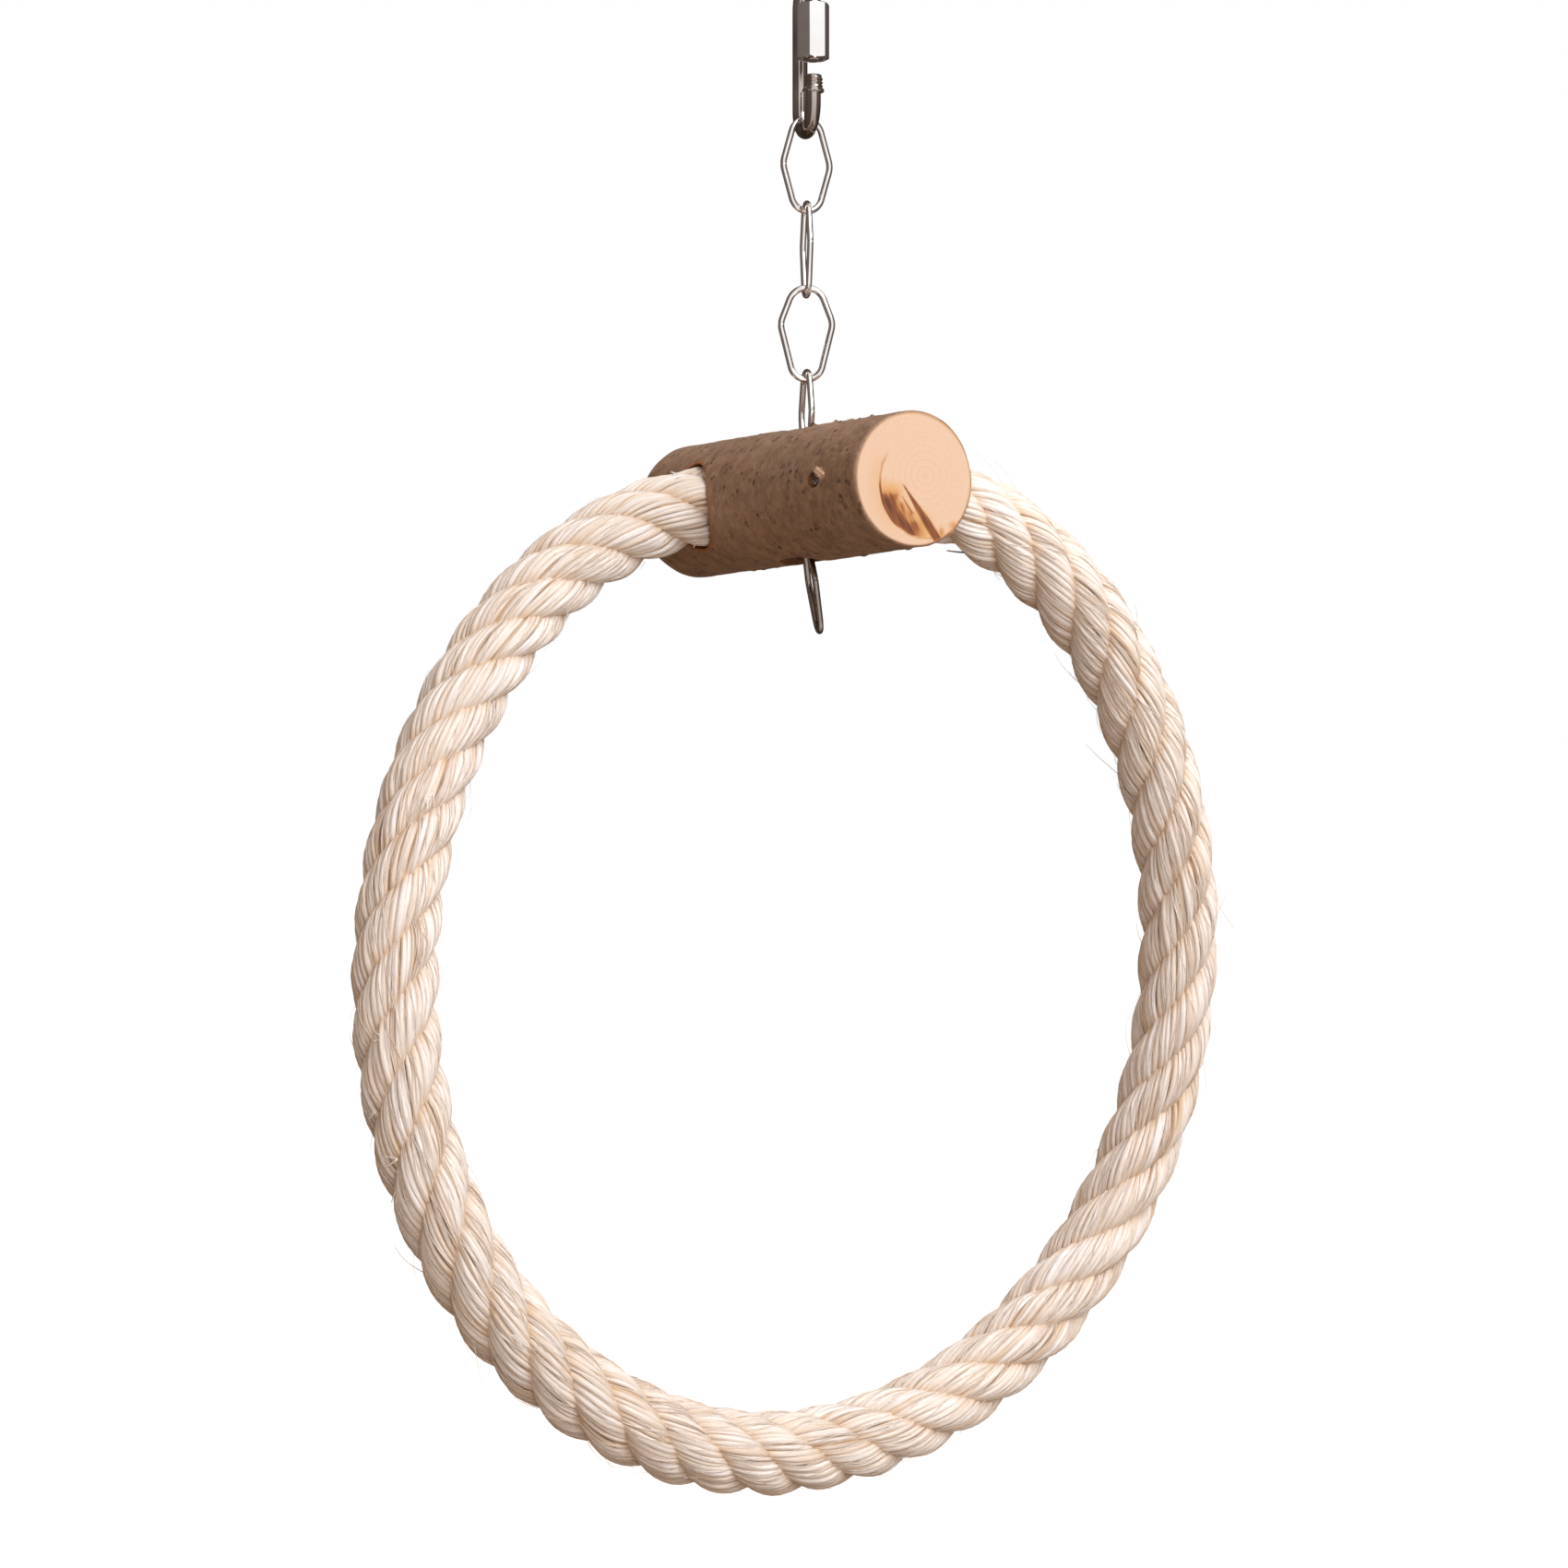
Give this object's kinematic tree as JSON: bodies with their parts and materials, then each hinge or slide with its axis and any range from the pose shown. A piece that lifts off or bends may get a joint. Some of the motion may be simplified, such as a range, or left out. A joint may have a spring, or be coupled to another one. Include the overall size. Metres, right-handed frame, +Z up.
{
  "type": "rope ring bird perch",
  "caption": "Hanging bird perch: a twisted sisal rope ring with its ends held in a short bark log, on a diamond-link chain with a screw-gate quick link.",
  "frame": {"origin": "the hang point, inside the top of the quick link", "axes": "+Z up along the chain, Y along the log with its front sawn end at -Y, X across the ring"},
  "size_m": [0.3211, 0.151, 0.5174],
  "materials": {
    "polished_steel": "polished stainless",
    "sleeve_steel": "polished stainless",
    "link_steel": "polished stainless wire",
    "hazel_wood": "natural bark, sawn ends",
    "nail_steel": "plain",
    "sisal": "natural sisal, four strands laid right-handed"
  },
  "bodies": {
    "quick_link": {"quick_link_body": "polished_steel"},
    "sleeve": {"quick_link_sleeve": "sleeve_steel"},
    "link_1": {"chain_link_1": "link_steel"},
    "link_2": {"chain_link_2": "link_steel"},
    "link_3": {"chain_link_3": "link_steel"},
    "link_4": {"chain_link_4": "link_steel"},
    "perch": {"hazel_log": "hazel_wood", "chain_pin": "nail_steel", "rope_nail_front": "nail_steel", "rope_nail_rear": "nail_steel", "sisal_rope": "sisal"},
    "link_5": {"chain_link_5": "link_steel"},
    "link_6": {"chain_link_6": "link_steel"}
  },
  "joints": [
    {"name": "sleeve_slide", "type": "slide", "parent": "quick_link", "child": "sleeve", "axis": [0, 0, 1], "range_m": [-0.0095, 0]},
    {"name": "link_1_swing", "type": "hinge", "parent": "quick_link", "child": "link_1", "pos_m": [0, 0, -0.0482], "axis": [0.2419, 0.9703, 0], "range_deg": [-35, 35]},
    {"name": "link_2_swing", "type": "hinge", "parent": "link_1", "child": "link_2", "pos_m": [0, 0, -0.07545], "axis": [0.9976, -0.0698, 0], "range_deg": [-30, 30]},
    {"name": "link_3_swing", "type": "hinge", "parent": "link_2", "child": "link_3", "pos_m": [0, 0, -0.1042], "axis": [0.3584, 0.9336, 0], "range_deg": [-30, 30]},
    {"name": "link_4_swing", "type": "hinge", "parent": "link_3", "child": "link_4", "pos_m": [0, 0, -0.13295], "axis": [0.8746, -0.4848, 0], "range_deg": [-30, 30]},
    {"name": "perch_swing", "type": "hinge", "parent": "link_4", "child": "perch", "pos_m": [0, 0, -0.1588], "axis": [1, 0, 0], "range_deg": [-12, 12]},
    {"name": "link_5_swing", "type": "hinge", "parent": "perch", "child": "link_5", "pos_m": [0, 0, -0.1588], "axis": [1, 0, 0], "range_deg": [-2, 2]},
    {"name": "link_6_swing", "type": "hinge", "parent": "link_5", "child": "link_6", "pos_m": [0, 0, -0.19045], "axis": [0.5, -0.866, 0], "range_deg": [-14, 11]}
  ]
}
